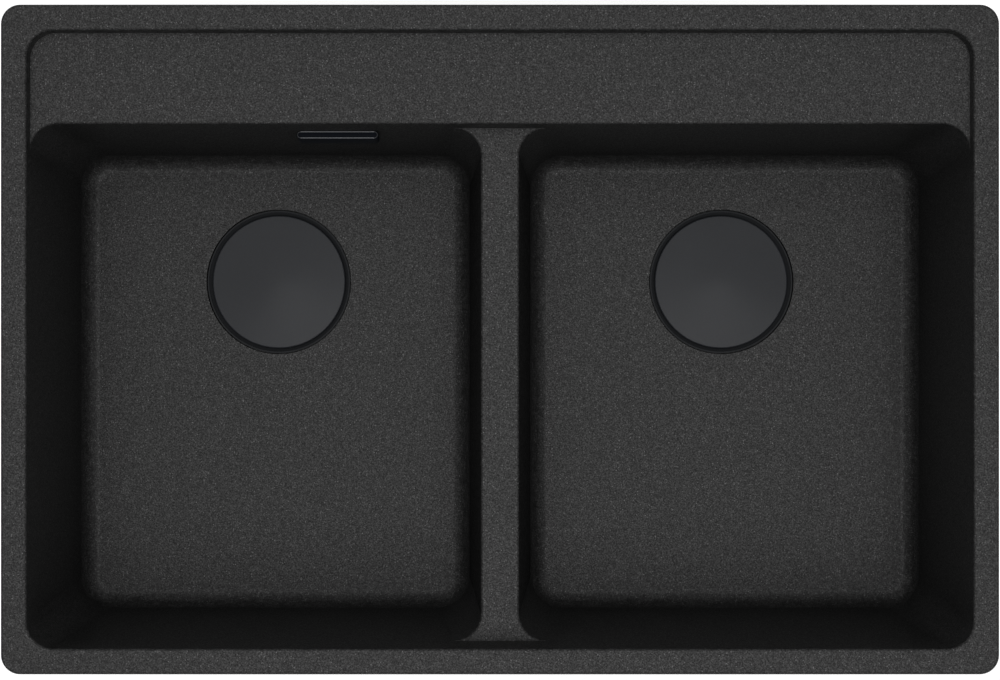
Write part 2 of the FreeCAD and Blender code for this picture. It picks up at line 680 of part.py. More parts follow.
def turned(label, points):
    """A body turned about Z from a profile of radius and level."""
    body = new_body(label)
    profile = new_sketch(body, f"{label}_profile", plane="XZ_Plane")
    polygon(profile, points)
    revolve(profile)
    return body


def drain_cover(side):
    edge = "cover_diameter / 2"
    under = "(cover_rise - cover_thickness)"
    lip = "cover_skirt"
    body = turned(f"{side}_drain_cover", [
        ("0", under),
        (f"{edge} - {lip}", under),
        (f"{edge} - {lip}", f"{under} - cover_skirt"),
        (edge, f"{under} - cover_skirt"),
        (edge, "cover_rise - cover_fall"),
        ("0", "cover_rise"),
    ])
    rim = number("cover_rise - cover_fall")
    dress(body, "Fillet", edges_where(body, lambda e: level_edge(e, rim)), "cover_round")
    return at_drain(body, side)


def cover_feet(side):
    foot = doc.addObject("Part::Cylinder", f"{side}_foot_form")
    bind(foot, "Radius", "cover_foot_radius")
    bind(foot, "Height", f"cover_rise - cover_thickness - {FLANGE_TOP}")
    circle_radius = number("cover_foot_circle")
    drain = drain_point(side)
    places = []
    for turn in (90, 210, 330):
        spoke = Rotation(turn, 0, 0).multVec(Vector(circle_radius, 0, number(FLANGE_TOP)))
        places.append(Placement(drain + spoke, Rotation()))
    return scatter(f"{side}_cover_feet", foot, places)


def drain_point(side):
    x = number("drain_offset") * (-1 if side == "left" else 1)
    return Vector(x, number("drain_rear"), number(FLOOR))


def waste_flange(side):
    """Pressed steel dish with its strainer cup."""
    edge = "flange_diameter / 2"
    cup = "cup_diameter / 2"
    bore = "(screw_radius + fit_gap)"
    body = turned(f"{side}_waste_flange", [
        (bore, CUP_LOW),
        (cup, CUP_LOW),
        (cup, FLANGE_LOW),
        (f"{edge} - flange_slope", FLANGE_LOW),
        (edge, f"{FLANGE_LOW} + flange_slope"),
        (edge, "-flange_lip_drop"),
        (f"{edge} - sheet_metal", "-flange_lip_drop"),
        (f"{edge} - sheet_metal", f"{FLANGE_LOW} + flange_slope + sheet_metal / 2"),
        (f"{edge} - flange_slope - sheet_metal / 2", FLANGE_TOP),
        (f"{cup} - sheet_metal", FLANGE_TOP),
        (f"{cup} - sheet_metal", CUP_SEAT),
        (bore, CUP_SEAT),
    ])
    low = number(CUP_LOW)
    radius = number(cup)
    names = edges_where(body, lambda e: level_edge(e, low) and e.Curve.Radius > radius - 0.1)
    dress(body, "Fillet", names, "cup_round")
    holes = new_sketch(body, f"{side}_cup_hole", level=f"{CUP_SEAT} + {PAST}")
    circle(holes, "cup_hole_circle", "0", "cup_hole_radius")
    polar(pocket(holes, f"sheet_metal + 2 * {PAST}"), 8)
    return at_drain(body, side)


def gasket(side, name, level, inner, outer):
    body = new_body(f"{side}_{name}")
    ring = new_sketch(body, f"{side}_{name}_ring", level=level)
    circle(ring, "0", "0", inner)
    circle(ring, "0", "0", outer)
    pad(ring, "gasket_thickness")
    return at_drain(body, side)


def basket(side):
    edge = "basket_diameter / 2"
    foot = f"({edge} - basket_taper)"
    shoulder = f"({edge} - 2 * basket_sheet)"
    bore = "(screw_radius + fit_gap)"
    body = turned(f"{side}_basket", [
        (bore, BASKET_LOW),
        (foot, BASKET_LOW),
        (shoulder, f"{BASKET_TOP} - basket_sheet"),
        (edge, f"{BASKET_TOP} - basket_sheet"),
        (edge, BASKET_TOP),
        (f"{shoulder} - basket_sheet", BASKET_TOP),
        (f"{foot} - basket_sheet", f"{BASKET_LOW} + basket_sheet"),
        (bore, f"{BASKET_LOW} + basket_sheet"),
    ])
    sides = new_sketch(body, f"{side}_basket_side_holes", plane="XZ_Plane")
    for share in ("0.33", "0.66"):
        circle(sides, "0", f"{BASKET_LOW} + basket_height * {share}", "basket_hole_radius")
    polar(pocket(sides, f"{edge} + {PAST}"), 12)
    bottom = new_sketch(body, f"{side}_basket_foot_hole", level=f"{BASKET_LOW} + basket_sheet + {PAST}")
    ring = f"(plug_radius + {foot} - basket_sheet) / 2"
    circle(bottom, ring, "0", "basket_hole_radius")
    polar(pocket(bottom, f"basket_sheet + 2 * {PAST}"), 12)
    return at_drain(body, side)


def basket_plug(side):
    hollow = f"({CUP_SEAT} + plug_hollow)"
    return at_drain(turned(f"{side}_basket_plug", [
        ("0", hollow),
        ("plug_radius - plug_lip", hollow),
        ("plug_radius - plug_lip", CUP_SEAT),
        ("plug_radius", CUP_SEAT),
        ("plug_radius", f"{BASKET_LOW} - plug_bevel"),
        ("plug_radius - plug_bevel", BASKET_LOW),
        ("0", BASKET_LOW),
    ]), side)


def basket_knob(side):
    neck = f"({BASKET_LOW} + knob_stem)"
    crown = f"({neck} + knob_height)"
    return at_drain(turned(f"{side}_basket_knob", [
        ("0", BASKET_LOW),
        ("screw_radius", BASKET_LOW),
        ("screw_radius", neck),
        (f"knob_radius - knob_bevel", neck),
        ("knob_radius", f"{neck} + knob_bevel"),
        ("knob_radius", f"{crown} - knob_bevel"),
        (f"knob_radius - knob_bevel", crown),
        ("0", crown),
    ]), side)


def clamp_screw(side):
    return at_drain(turned(f"{side}_clamp_screw", [
        ("0", f"{CUP_SEAT} - screw_length"),
        ("screw_radius", f"{CUP_SEAT} - screw_length"),
        ("screw_radius", CUP_SEAT),
        ("screw_head", CUP_SEAT),
        ("screw_head", f"{CUP_SEAT} + screw_head_height"),
        ("0", f"{CUP_SEAT} + screw_head_height"),
    ]), side)


def inlet_turn():
    """Angle, seen from above, from the left waste to the foot of the overflow pipe."""
    across = number("drain_offset - overflow_offset")
    along = number(f"{HOSE_Y} - drain_rear")
    return math.degrees(math.atan2(along, across))


def inlet_sketch(body, name, reach):
    """A sketch square to the overflow inlet, at a distance from the waste's axis."""
    sketch = body.newObject("Sketcher::SketchObject", name)
    support = next(f for f in body.Origin.OriginFeatures if f.Role == "YZ_Plane")
    sketch.AttachmentSupport = [(support, "")]
    sketch.MapMode = "FlatFace"
    turn = Rotation(Vector(0, 1, 0), inlet_turn())
    sketch.AttachmentOffset = Placement(turn.multVec(Vector(0, 0, number(reach))), turn)
    return sketch


def waste_body(side):
    """Plastic chamber under the floor: outlet towards the other bowl, overflow inlet on the left one."""
    inside = "(body_radius - body_wall)"
    post = "(screw_radius + post_wall)"
    body = turned(f"{side}_waste_body", [
        ("0", BODY_LOW),
        ("body_radius", BODY_LOW),
        ("body_radius", f"{BODY_TOP} - body_collar"),
        ("body_flange", f"{BODY_TOP} - body_collar"),
        ("body_flange", BODY_TOP),
        (inside, BODY_TOP),
        (inside, f"{BODY_LOW} + body_wall"),
        (post, f"{BODY_LOW} + body_wall"),
        (post, CUP_LOW),
        ("0", CUP_LOW),
    ])
    low = number(BODY_LOW)
    dress(body, "Fillet", edges_where(body, lambda e: level_edge(e, low)), "body_round")

    socket = new_sketch(body, f"{side}_socket", "YZ_Plane", "body_radius - 2 * body_wall")
    circle(socket, "0", "-outlet_drop", SOCKET_RADIUS)
    pad(socket, "socket_reach - body_radius + 2 * body_wall")
    bore = new_sketch(body, f"{side}_socket_bore", "YZ_Plane", f"socket_reach + {PAST}")
    circle(bore, "0", "-outlet_drop", "pipe_radius + pipe_gap")
    pocket(bore, f"socket_depth + {PAST}")
    way = new_sketch(body, f"{side}_outlet_way", "YZ_Plane", f"socket_reach + {PAST}")
    circle(way, "0", "-outlet_drop", "pipe_radius - pipe_wall")
    pocket(way, f"socket_reach + {PAST} - body_radius + 4 * body_wall")

    if side == "left":
        level = "-outlet_drop + hose_lift"
        inlet = inlet_sketch(body, "inlet", "body_radius - 2 * body_wall")
        circle(inlet, "0", level, INLET_RADIUS)
        pad(inlet, "inlet_reach - body_radius + 2 * body_wall")
        bore = inlet_sketch(body, "inlet_bore", f"inlet_reach + {PAST}")
        circle(bore, "0", level, INLET_BORE)
        pocket(bore, f"hose_socket + {PAST}")
        way = inlet_sketch(body, "inlet_way", f"inlet_reach + {PAST}")
        circle(way, "0", level, "hose_radius - hose_wall")
        pocket(way, f"inlet_reach + {PAST} - body_radius + 4 * body_wall")

    thread = new_sketch(body, f"{side}_post_bore", level=f"{CUP_LOW} + {PAST}")
    circle(thread, "0", "0", "screw_radius + fit_gap")
    pocket(thread, f"screw_length - sheet_metal + 2 * {PAST}")
    if side == "right":
        body.Placement = Placement(Vector(), Rotation(180, 0, 0))
    return at_drain(body, side)


# ---------------------------------------------------------------- pipes under the sink

AXIS_Z = f"({FLOOR} - outlet_drop)"


def tube(label, radius, wall, start, direction, length):
    """A straight pipe from a point, as a Part feature."""
    outside = Part.makeCylinder(number(radius), length, start, direction)
    inside = Part.makeCylinder(number(f"{radius} - {wall}"), length, start, direction)
    item = doc.addObject("Part::Feature", label)
    item.Label = label
    item.Shape = outside.cut(inside)
    return keep(item)


def branch_pipe(side):
    """Joins a waste to the tee."""
    sign = -1 if side == "left" else 1
    spare = number("socket_depth - pipe_stop")
    far = number("drain_offset - socket_reach") + spare
    near = number("tee_half") - spare
    start = Vector(sign * far, number("drain_rear"), number(AXIS_Z))
    return tube(f"{side}_branch_pipe", "pipe_radius", "pipe_wall", start, Vector(-sign, 0, 0), far - near)


def tee():
    body = new_body("tee")
    run = new_sketch(body, "tee_run", "YZ_Plane", "-tee_half")
    circle(run, "0", "0", SOCKET_RADIUS)
    pad(run, "2 * tee_half")
    hub = new_sketch(body, "tee_hub_outline", "YZ_Plane", "-tee_hub")
    circle(hub, "0", "0", f"{SOCKET_RADIUS} + tee_hub_wall")
    pad(hub, "2 * tee_hub")
    drop = new_sketch(body, "tee_drop_outline")
    circle(drop, "0", "0", SOCKET_RADIUS)
    pad(drop, "tee_drop", reverse=True)
    way = new_sketch(body, "tee_way", "YZ_Plane", f"tee_half + {PAST}")
    circle(way, "0", "0", "pipe_radius - pipe_wall")
    pocket(way, f"2 * (tee_half + {PAST})")
    down = new_sketch(body, "tee_down")
    circle(down, "0", "0", "pipe_radius - pipe_wall - tee_step")
    pocket(down, f"tee_drop + {PAST}")
    mouth = f"tee_half + {PAST}"
    for name, level, reverse in (("left", f"-({mouth})", True), ("right", mouth, False)):
        bore = new_sketch(body, f"tee_{name}_bore", "YZ_Plane", level)
        circle(bore, "0", "0", "pipe_radius + pipe_gap")
        pocket(bore, f"socket_depth + {PAST}", reverse)
    bore = new_sketch(body, "tee_low_bore", level=f"-tee_drop - {PAST}")
    circle(bore, "0", "0", "pipe_radius + pipe_gap")
    pocket(bore, f"socket_depth + {PAST}", reverse=True)
    bind(body, "Placement.Base.y", "drain_rear")
    bind(body, "Placement.Base.z", AXIS_Z)
    return keep(body)


def tail_pipe():
    """Leaves the tee downward, with a ring that stops a trap's socket."""
    bore = "(pipe_radius - pipe_wall)"
    top = "(socket_depth - pipe_stop - tee_drop)"
    low = f"({top} - tail_length)"
    body = turned("tail_pipe", [
        (bore, low),
        ("pipe_radius", low),
        ("pipe_radius", f"{low} + tail_free"),
        ("pipe_radius + tail_stop", f"{low} + tail_free"),
        ("pipe_radius + tail_stop", f"{low} + tail_free + tail_stop_height"),
        ("pipe_radius", f"{low} + tail_free + tail_stop_height"),
        ("pipe_radius", top),
        (bore, top),
    ])
    bind(body, "Placement.Base.y", "drain_rear")
    bind(body, "Placement.Base.z", AXIS_Z)
    return keep(body)


def nut_form(label, pipe, socket, outer):
    """A union nut whose seat is the mouth of a socket at z = 0, with a grip of shallow flutes."""
    back = "(nut_lip * 2 - nut_length)"
    thread = f"({socket} + fit_gap)"
    body = turned(label, [
        (thread, back),
        (outer, back),
        (outer, "nut_lip * 2"),
        (f"{pipe} + pipe_gap", "nut_lip * 2"),
        (f"{pipe} + pipe_gap", "nut_lip"),
        (thread, "nut_lip"),
    ])
    flute = new_sketch(body, f"{label}_flute", level=f"nut_lip * 2 + {PAST}")
    circle(flute, f"{outer} + flute_radius - flute_depth", "0", "flute_radius")
    polar(pocket(flute, f"nut_length + 2 * {PAST}"), 12)
    return body


def seal_form(label, pipe, socket):
    """The ring that a union nut presses on the mouth of a socket."""
    body = new_body(label)
    ring = new_sketch(body, f"{label}_ring")
    circle(ring, "0", "0", f"{pipe} + fit_gap")
    circle(ring, "0", "0", f"{socket} - fit_gap")
    pad(ring, "nut_lip")
    return body


def unions():
    """Nuts and seals of the drain pipes: at both wastes and on the three sockets of the tee."""
    y = number("drain_rear")
    z = number(AXIS_Z)
    waste = number("drain_offset - socket_reach")
    half = number("tee_half")
    to_right = Rotation(Vector(0, 1, 0), 90)
    to_left = Rotation(Vector(0, 1, 0), -90)
    places = [
        Placement(Vector(-waste, y, z), to_right),
        Placement(Vector(waste, y, z), to_left),
        Placement(Vector(-half, y, z), to_left),
        Placement(Vector(half, y, z), to_right),
        Placement(Vector(0, y, z - number("tee_drop")), Rotation(Vector(1, 0, 0), 180)),
    ]
    scatter("union_nuts", nut_form("nut_form", "pipe_radius", SOCKET_RADIUS, "nut_radius"), places)
    scatter("union_seals", seal_form("seal_form", "pipe_radius", SOCKET_RADIUS), places)


# ---------------------------------------------------------------- overflow of the left bowl

HOLE_Z = f"({RIM_TOP} - overflow_drop)"
HOSE_TOP = f"({HOLE_Z} - housing_height / 2 - hose_stop)"
SCREW_X = "overflow_screw_offset"
COLLAR_X = "overflow_width + 2 * housing_collar"
COLLAR_Z = "overflow_height + 2 * housing_collar"


def on_wall():
    """On the left bowl's rear wall: Y out of the wall into the bowl, Z up along it."""
    y = number(f"{LEDGE_Y} - overflow_drop * tan(draft_angle)")
    tilt = Rotation(Vector(1, 0, 0), -number("draft_angle"))
    turn = Rotation(Vector(0, 0, 1), 180)
    return Placement(Vector(-number("overflow_offset"), y, number(HOLE_Z)), tilt * turn)


def overflow_hood():
    """Bare bar with round ends and two fine ridges on top, open below and towards the wall."""
    body = new_body("overflow_hood")
    outline = new_sketch(body, "hood_outline", level="-hood_height / 2")
    centred_slot(outline, "0", "hood_depth / 2", "hood_width", "hood_depth")
    pad(outline, "hood_height")
    hollow = new_sketch(body, "hood_hollow", level="-hood_height / 2")
    inner = "(hood_width / 2 - 2 * hood_sheet)"
    front = "(hood_depth - hood_sheet)"
    polygon(hollow, [(f"-{inner}", f"-{PAST}"), (inner, f"-{PAST}"), (inner, front), (f"-{inner}", front)])
    pocket(hollow, "hood_height - hood_sheet", reverse=True)
    ridges = new_sketch(body, "hood_ridges", level="hood_height / 2")
    half = "(hood_width * 0.4)"
    for near in ("hood_depth * 0.1", "hood_depth * 0.82"):
        far = f"{near} + hood_depth * 0.08"
        polygon(ridges, [(f"-{half}", near), (half, near), (half, far), (f"-{half}", far)])
    pad(ridges, "hood_sheet / 3")
    body.Placement = on_wall()
    return keep(body)


def overflow_frame():
    """Plate that the hood clips to, screwed through the hole to the housing."""
    body = new_body("overflow_frame")
    plate = new_sketch(body, "frame_outline", "XZ_Plane")
    centred_slot(plate, "0", "0", "overflow_width + 2 * frame_lap", "overflow_height + 2 * frame_rise")
    centred_slot(plate, "0", "0", "frame_window", "frame_window_height")
    for side in (-1, 1):
        circle(plate, f"{side} * {SCREW_X}", "0", "anchor_screw + fit_gap")
    pad(plate, "hood_sheet", reverse=True)
    body.Placement = on_wall()
    return keep(body)


def overflow_screws():
    form = new_body("overflow_screw_form")
    head = new_sketch(form, "overflow_screw_head", "XZ_Plane", "-hood_sheet")
    circle(head, "0", "0", "pan_head")
    pad(head, "pan_head_height", reverse=True)
    shank = new_sketch(form, "overflow_screw_shank", "XZ_Plane", "-hood_sheet")
    circle(shank, "0", "0", "anchor_screw")
    pad(shank, screw_reach())
    return scatter("overflow_screws", form, screw_places())


def screw_reach():
    wall = f"(overflow_land - {LEDGE_Y} + overflow_drop * tan(draft_angle))"
    return f"({wall} + gasket_thickness + overflow_screw_bite + hood_sheet)"


def screw_places():
    x = number(SCREW_X)
    return [on_wall() * Placement(Vector(side * x, 0, 0), Rotation()) for side in (-1, 1)]


def overflow_gasket():
    body = new_body("overflow_gasket")
    ring = new_sketch(body, "overflow_gasket_outline", "XZ_Plane", "-overflow_land")
    centred_slot(ring, "-overflow_offset", HOLE_Z, COLLAR_X, COLLAR_Z)
    centred_slot(ring, "-overflow_offset", HOLE_Z, "overflow_width", "overflow_height")
    pad(ring, "gasket_thickness", reverse=True)
    return keep(body)


def overflow_housing():
    """Collar, screw posts, chamber and the socket for the pipe, behind the rear wall."""
    body = new_body("housing_blank")
    x = "-overflow_offset"
    collar = new_sketch(body, "collar", "XZ_Plane", f"-{HOUSING_FRONT}")
    centred_slot(collar, x, HOLE_Z, COLLAR_X, COLLAR_Z)
    pad(collar, "body_wall", reverse=True)
    posts = new_sketch(body, "screw_posts", "XZ_Plane", f"-{HOUSING_FRONT}")
    for side in (-1, 1):
        circle(posts, f"{x} + {side} * {SCREW_X}", HOLE_Z, "anchor_screw + body_wall")
    pad(posts, "screw_post", reverse=True)
    chamber = new_sketch(body, "chamber", "XZ_Plane", f"-{HOUSING_FRONT}")
    half = "(housing_width / 2)"
    high = "(housing_height / 2)"
    rounded_rectangle(chamber, f"{x} - {half}", f"{x} + {half}", f"{HOLE_Z} - {high}", f"{HOLE_Z} + {high}",
                      "housing_corner")
    pad(chamber, "housing_depth + body_wall", reverse=True)
    foot = new_sketch(body, "hose_socket_outline", level=f"{HOLE_Z} - {high} + body_wall / 2")
    circle(foot, x, HOSE_Y, INLET_RADIUS)
    pad(foot, "body_wall / 2 + hose_stop + hose_socket", reverse=True)
    hollow = new_sketch(body, "chamber_hollow", "XZ_Plane", f"-{HOUSING_FRONT}")
    side = f"({half} - body_wall)"
    rise = f"({high} - body_wall)"
    rounded_rectangle(hollow, f"{x} - {side}", f"{x} + {side}", f"{HOLE_Z} - {rise}", f"{HOLE_Z} + {rise}",
                      "housing_corner - body_wall")
    pocket(hollow, "housing_depth")
    way = new_sketch(body, "hose_way", level=HOLE_Z)
    circle(way, x, HOSE_Y, "hose_radius - hose_wall")
    pocket(way, f"{HOLE_Z} - {HOSE_TOP} + {PAST}")
    bore = new_sketch(body, "hose_bore", level=HOSE_TOP)
    circle(bore, x, HOSE_Y, INLET_BORE)
    pocket(bore, f"hose_socket + {PAST}")
    doc.recompute()
    cutter = Part.makeCylinder(number("anchor_screw + fit_gap"), number(f"{screw_reach()} + {PAST}"))
    cutter.Placement = Placement(Vector(), Rotation(Vector(1, 0, 0), 90))
    tools = [cutter.transformed(place.toMatrix()) for place in screw_places()]
    housing = doc.addObject("Part::Feature", "overflow_housing")
    housing.Label = "overflow_housing"
    housing.Shape = body.Shape.cut(tools)
    return keep(housing)


def hose_path():
    """Down behind the bowl, then forward under the floor into the left waste's inlet."""
    top = Vector(-number("overflow_offset"), number(HOSE_Y), number(HOSE_TOP))
    low = number(f"{AXIS_Z} + hose_lift")
    bend = number("hose_bend")
    turn = math.radians(inlet_turn())
    away = Vector(-math.cos(turn), -math.sin(turn), 0)
    reach = math.hypot(number(f"{HOSE_Y} - drain_rear"), number("drain_offset - overflow_offset"))
    end_gap = number("inlet_reach - hose_socket + hose_end")
    arc_start = Vector(top.x, top.y, low + bend)
    corner = Vector(top.x, top.y, low)
    arc_end = corner + away * bend
    middle = arc_start * 0.5 + arc_end * 0.5
    centre = arc_start + away * bend
    arc_middle = centre + (middle - centre).normalize() * bend
    end = corner + away * (reach - end_gap)
    return Part.Wire([
        Part.LineSegment(top, arc_start).toShape(),
        Part.Arc(arc_start, arc_middle, arc_end).toShape(),
        Part.LineSegment(arc_end, end).toShape(),
    ])


def overflow_pipe():
    path = hose_path()
    top = path.Vertexes[0].Point
    shells = []
    for radius in ("hose_radius", "hose_radius - hose_wall"):
        ring = Part.Wire(Part.makeCircle(number(radius), top, Vector(0, 0, -1)))
        shells.append(path.makePipeShell([ring], True, False))
    pipe = doc.addObject("Part::Feature", "overflow_pipe")
    pipe.Label = "overflow_pipe"
    pipe.Shape = shells[0].cut(shells[1])
    return keep(pipe)


def overflow_unions():
    x = -number("overflow_offset")
    mouth = number(f"{HOSE_TOP} - hose_socket")
    turn = inlet_turn()
    drain = drain_point("left")
    reach = Rotation(turn, 0, 0).multVec(Vector(number("inlet_reach"), 0, 0))
    level = number(f"{AXIS_Z} + hose_lift")
    places = [
        Placement(Vector(x, number(HOSE_Y), mouth), Rotation(Vector(1, 0, 0), 180)),
        Placement(Vector(drain.x + reach.x, drain.y + reach.y, level),
                  Rotation(Vector(0, 0, 1), turn) * Rotation(Vector(0, 1, 0), 90)),
    ]
    outer = f"{INLET_RADIUS} + small_nut_wall"
    scatter("overflow_nuts", nut_form("small_nut_form", "hose_radius", INLET_RADIUS, outer), places)
    scatter("overflow_seals", seal_form("small_seal_form", "hose_radius", INLET_RADIUS), places)


# ---------------------------------------------------------------- worktop clips

CLAW_TOP = "(-clip_foot_level - claw_drop)"


def bracket_form():
    """Bent strip: a leg on the sink and a foot that holds the claw's bolt."""
    body = new_body("bracket_form")
    profile = new_sketch(body, "bracket_profile", "YZ_Plane", "-clip_width / 2")
    low = "(-clip_foot_level - clip_leg)"
    polygon(profile, [
        ("0", low),
        ("clip_sheet", low),
        ("clip_sheet", "-clip_foot_level - clip_sheet"),
        ("clip_foot", "-clip_foot_level - clip_sheet"),
        ("clip_foot", "-clip_foot_level"),
        ("0", "-clip_foot_level"),
    ])
    pad(profile, "clip_width")
    bolt = new_sketch(body, "bracket_bolt_hole", level=f"-clip_foot_level + {PAST}")
    circle(bolt, "0", "clip_axis", "clip_bolt_radius + fit_gap")
    pocket(bolt, f"clip_sheet + 2 * {PAST}")
    screw = new_sketch(body, "bracket_screw_hole", "XZ_Plane", f"-clip_sheet - {PAST}")
    circle(screw, "0", ANCHOR_Z, "anchor_screw + fit_gap")
    pocket(screw, f"clip_sheet + 2 * {PAST}", reverse=True)
    return body


def anchor_form():
    body = new_body("anchor_form")
    ring = new_sketch(body, "anchor_ring", "XZ_Plane")
    circle(ring, "0", ANCHOR_Z, "anchor_radius")
    circle(ring, "0", ANCHOR_Z, "anchor_screw + fit_gap")
    pad(ring, "anchor_length")
    return body


def anchor_screw_form():
    body = new_body("anchor_screw_form")
    head = new_sketch(body, "anchor_screw_head", "XZ_Plane", "-clip_sheet")
    circle(head, "0", ANCHOR_Z, "pan_head")
    pad(head, "pan_head_height", reverse=True)
    shank = new_sketch(body, "anchor_screw_shank", "XZ_Plane", "-clip_sheet")
    circle(shank, "0", ANCHOR_Z, "anchor_screw")
    pad(shank, "clip_sheet + anchor_length - anchor_screw_spare")
    return body


def bolt_form():
    body = new_body("bolt_form")
    under = f"({CLAW_TOP} - clip_sheet)"
    head = new_sketch(body, "bolt_head", level=f"{under} - bolt_head_height")
    polygon(head, [
        (f"bolt_head * cos({turn})", f"clip_axis + bolt_head * sin({turn})")
        for turn in range(0, 360, 60)
    ])
    pad(head, "bolt_head_height")
    shank = new_sketch(body, "bolt_shank", level=under)
    circle(shank, "0", "clip_axis", "clip_bolt_radius")
    pad(shank, f"-clip_foot_level + clip_sheet - {under}")
    return body


def claw_form():
    """Swivelling claw about its bolt at the origin, its arm along X, with an upturned toothed tip."""
    body = new_body("claw_form")
    half = "claw_width / 2"
    eye = new_sketch(body, "claw_eye")
    circle(eye, "0", "0", half)
    pad(eye, "clip_sheet", reverse=True)
    arm = new_sketch(body, "claw_arm")
    polygon(arm, [("0", f"-{half}"), ("claw_reach", f"-{half}"), ("claw_reach", half), ("0", half)])
    pad(arm, "clip_sheet", reverse=True)
    tip = new_sketch(body, "claw_tip_profile", "YZ_Plane", "claw_reach - clip_sheet")
    crest = "(claw_tip - clip_sheet)"
    valley = "(claw_tip - 2 * clip_sheet)"
    step = "(claw_width / 6)"
    teeth = [(f"{half} - {i} * {step}", valley if i % 2 else crest) for i in range(7)]
    polygon(tip, [(f"-{half}", "-clip_sheet"), (half, "-clip_sheet")] + teeth)
    pad(tip, "clip_sheet")
    hole = new_sketch(body, "claw_hole", level=PAST)
    circle(hole, "0", "0", "clip_bolt_radius + swivel_gap")
    pocket(hole, f"clip_sheet + 2 * {PAST}")
    return body


def clips():
    places = clip_places()
    scatter("clip_brackets", bracket_form(), places.values())
    scatter("clip_anchors", anchor_form(), places.values())
    scatter("clip_anchor_screws", anchor_screw_form(), places.values())
    scatter("clip_bolts", bolt_form(), places.values())
    form = claw_form()
    doc.recompute()
    eye = Placement(Vector(0, number("clip_axis"), number(CLAW_TOP)), Rotation())
    for name, place in places.items():
        claw = doc.addObject("Part::Feature", f"claw_{name}")
        claw.Label = f"claw_{name}"
        claw.Shape = form.Shape.copy()
        claw.Placement = place * eye
        keep(claw)


# ---------------------------------------------------------------- the whole sink

def check():
    """Stops before anything is written if a feature failed or a sub-part isn't sound."""
    doc.recompute()
    for item in doc.Objects:
        if "Invalid" in item.State or "Error" in item.State:
            raise RuntimeError(f"{item.Name} failed: {item.State}")
    for node in NODES:
        if node.Shape.isNull() or not node.Shape.isValid():
            raise RuntimeError(f"{node.Label} is not a valid shape")


sink_body()
rim_seal()
for bowl in ("left", "right"):
    drain_cover(bowl)
    cover_feet(bowl)
    basket(bowl)
    basket_plug(bowl)
    basket_knob(bowl)
    waste_flange(bowl)
    gasket(bowl, "flange_gasket", RECESS, "cup_diameter / 2 + cup_gap", "flange_diameter / 2 - flange_slope")
    gasket(bowl, "waste_gasket", BODY_TOP, "body_radius - body_wall", "body_flange - gasket_inset")
    clamp_screw(bowl)
    waste_body(bowl)
    branch_pipe(bowl)
tee()
tail_pipe()
unions()
overflow_hood()
overflow_frame()
overflow_screws()
overflow_gasket()
overflow_housing()
overflow_pipe()
overflow_unions()
clips()
check()

os.makedirs("parts", exist_ok=True)
for node in NODES:
    node.Shape.exportStep(f"parts/{node.Label}.step")
    box = node.Shape.BoundBox
    print(f"{node.Label}: {len(node.Shape.Solids)} solids, {node.Shape.Volume:.0f} mm3,",
          f"z {box.ZMin:.1f} to {box.ZMax:.1f}")
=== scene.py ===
"""Looks of the double bowl kitchen sink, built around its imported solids.

Lengths in this file are in millimetres and angles in degrees, until they reach Blender.
"""

import json
import math

import bmesh
import bpy
from mathutils import Matrix, Vector

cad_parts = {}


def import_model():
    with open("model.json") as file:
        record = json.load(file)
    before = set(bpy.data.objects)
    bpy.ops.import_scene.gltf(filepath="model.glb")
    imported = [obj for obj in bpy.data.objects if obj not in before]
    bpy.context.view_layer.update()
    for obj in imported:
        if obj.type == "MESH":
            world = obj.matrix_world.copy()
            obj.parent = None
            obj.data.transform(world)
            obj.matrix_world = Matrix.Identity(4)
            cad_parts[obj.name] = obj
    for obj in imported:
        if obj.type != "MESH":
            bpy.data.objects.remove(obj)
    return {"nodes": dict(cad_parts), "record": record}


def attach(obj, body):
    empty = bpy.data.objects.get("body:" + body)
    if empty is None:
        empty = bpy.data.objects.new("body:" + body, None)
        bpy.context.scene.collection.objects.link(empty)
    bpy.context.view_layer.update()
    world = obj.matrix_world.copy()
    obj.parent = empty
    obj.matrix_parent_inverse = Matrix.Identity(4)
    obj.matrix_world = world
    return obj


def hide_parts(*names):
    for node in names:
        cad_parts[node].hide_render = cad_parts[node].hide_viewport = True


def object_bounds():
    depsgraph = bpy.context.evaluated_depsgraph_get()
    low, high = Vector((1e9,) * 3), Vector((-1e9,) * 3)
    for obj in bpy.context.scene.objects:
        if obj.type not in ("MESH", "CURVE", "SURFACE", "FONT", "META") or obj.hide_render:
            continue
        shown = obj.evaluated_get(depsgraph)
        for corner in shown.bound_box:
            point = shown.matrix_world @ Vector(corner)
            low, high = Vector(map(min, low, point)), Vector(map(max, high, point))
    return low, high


MM = 0.001

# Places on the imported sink.
RIM_TOP = 9.5
BOWL_FLOOR = -190.5
DRAIN_X = 188
DRAIN_Y = 49

# Drain covers, with levels from the bowl's floor.
COVER_RADIUS = 56.5
COVER_INNER = 54.5
COVER_FOOT = -4.5
COVER_UNDERSIDE = -2.5
COVER_TOP = 0.6
COVER_FALL = 2.5
COVER_BLUNT = 12
COVER_CROWN = (24, 16, 10, 5)
COVER_CORNERS = {2: 0.4, 3: 0.5, 4: 1.2}
COVER_SEGMENTS = 160
CORNER_STEPS = 6

# Overflow hood: x runs along the wall, y away from it, and levels are from the hood's middle.
HOOD_AT = (-129, 164.8, -50.5)
HOOD_LEAN = 4
HOOD_WIDTH = 65
HOOD_DEPTH = 6.5
HOOD_HALF_HEIGHT = 12
HOOD_SIDE = 3
HOOD_FRONT = 1.5
HOOD_CAP = 1.5
HOOD_OVERLAP = 0.1
HOOD_SOFT_EDGE = 1
HOOD_TURNS = 16
BEAD_INSET = 0.8
BEAD_HALF_WIDTH = 0.28
BEAD_HEIGHT = 0.3
ARC_STEP = 15

# Shading of the meshes.
MERGE_METRES = 1e-6
CRISP_ANGLE = 33
STRONG_FACES = 100

